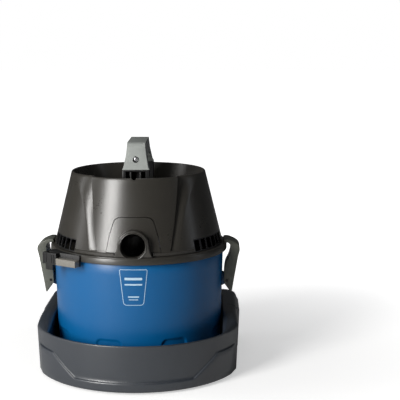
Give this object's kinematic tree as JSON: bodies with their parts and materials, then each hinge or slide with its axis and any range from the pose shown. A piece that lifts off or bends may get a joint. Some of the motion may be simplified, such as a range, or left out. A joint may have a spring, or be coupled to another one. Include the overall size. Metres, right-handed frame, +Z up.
{
  "type": "shop vacuum",
  "caption": "Canister shop vacuum: tank, conical motor head with carry handle, side latches, and a base tray that it lifts out of.",
  "frame": {"origin": "on the floor under the centre of the footprint", "axes": "+Z up, -Y the front with the hose port, +X the right side seen from the front"},
  "size_m": [0.3708, 0.366, 0.4163],
  "materials": {
    "tray_slate": "fine-textured slate-grey polypropylene",
    "black_plastic": "black moulded plastic",
    "steel": "zinc-plated steel",
    "rubber": "black rubber",
    "tank_blue": "satin blue moulded plastic",
    "latch_grey": "satin grey plastic",
    "head_charcoal": "satin charcoal plastic with soft reflections",
    "handle_grey": "fine-textured mid grey plastic",
    "aluminium": "pressed aluminium",
    "core_steel": "laminated steel",
    "copper": "copper",
    "white_plastic": "white plastic",
    "filter_paper": "pleated filter paper"
  },
  "bodies": {
    "base": {"tray_shell": "tray_slate", "tray_clip_pin": "steel", "tray_clip_spring": "steel", "tray_foot_front_left": "rubber", "tray_foot_rear_left": "rubber", "tray_foot_front_right": "rubber", "tray_foot_rear_right": "rubber"},
    "clip": {"tray_clip": "black_plastic"},
    "tank": {"tank": "tank_blue", "latch_pin_left": "steel", "latch_pin_right": "steel"},
    "latch_left": {"latch_lever_left": "latch_grey"},
    "latch_right": {"latch_lever_right": "latch_grey"},
    "head": {"motor_base": "head_charcoal", "motor_housing": "head_charcoal", "front_cover": "head_charcoal", "hose_port": "head_charcoal", "inlet_duct": "black_plastic", "vent_grille_left": "black_plastic", "vent_grille_right": "black_plastic", "wand_bracket": "head_charcoal", "tank_seal": "rubber", "base_screw_1": "steel", "base_screw_2": "steel", "base_screw_3": "steel", "base_screw_4": "steel", "cord_inlet": "rubber", "handle_bridge": "black_plastic", "carry_handle": "handle_grey", "handle_screw_front": "steel", "handle_screw_rear": "steel", "switch_bezel": "black_plastic", "motor_gasket": "rubber", "fan_housing": "steel", "motor_shell": "black_plastic", "stator": "core_steel", "brush_left": "copper", "brush_right": "copper", "bearing_top": "steel", "bearing_bottom": "steel", "float_cage": "white_plastic", "filter_cartridge": "filter_paper", "filter_cap": "black_plastic", "filter_stud": "steel", "filter_knob": "black_plastic"},
    "rocker": {"switch_rocker": "black_plastic"},
    "rotor": {"rotor_shaft": "steel", "impeller": "aluminium", "armature": "core_steel", "commutator": "copper"},
    "float": {"float_ball": "white_plastic"}
  },
  "joints": [
    {"name": "tank_lift", "type": "slide", "parent": "base", "child": "tank", "axis": [0, 0, 1], "range_m": [0, 0.178]},
    {"name": "head_lift", "type": "slide", "parent": "tank", "child": "head", "axis": [0, 0, 1], "range_m": [0, 0.24]},
    {"name": "latch_left_swing", "type": "hinge", "parent": "tank", "child": "latch_left", "pos_m": [-0.16, 0.007, 0.1613], "axis": [0, -1, 0], "range_deg": [0, 33]},
    {"name": "latch_right_swing", "type": "hinge", "parent": "tank", "child": "latch_right", "pos_m": [0.16, 0.007, 0.1613], "axis": [0, 1, 0], "range_deg": [0, 33]},
    {"name": "clip_release", "type": "hinge", "parent": "base", "child": "clip", "pos_m": [0, 0.1775, 0.06], "axis": [-1, 0, 0], "range_deg": [0, 10], "stiffness_Nm_per_rad": 0.4},
    {"name": "power_switch", "type": "hinge", "parent": "head", "child": "rocker", "pos_m": [0.066, 0.007, 0.3233], "axis": [1, 0, 0], "range_deg": [-16, 0]},
    {"name": "rotor_spin", "type": "hinge", "parent": "head", "child": "rotor", "pos_m": [0, 0.007, 0.28], "axis": [0, 0, 1], "continuous": true},
    {"name": "float_rise", "type": "slide", "parent": "head", "child": "float", "axis": [0, 0, 1], "range_m": [0, 0.036]}
  ]
}
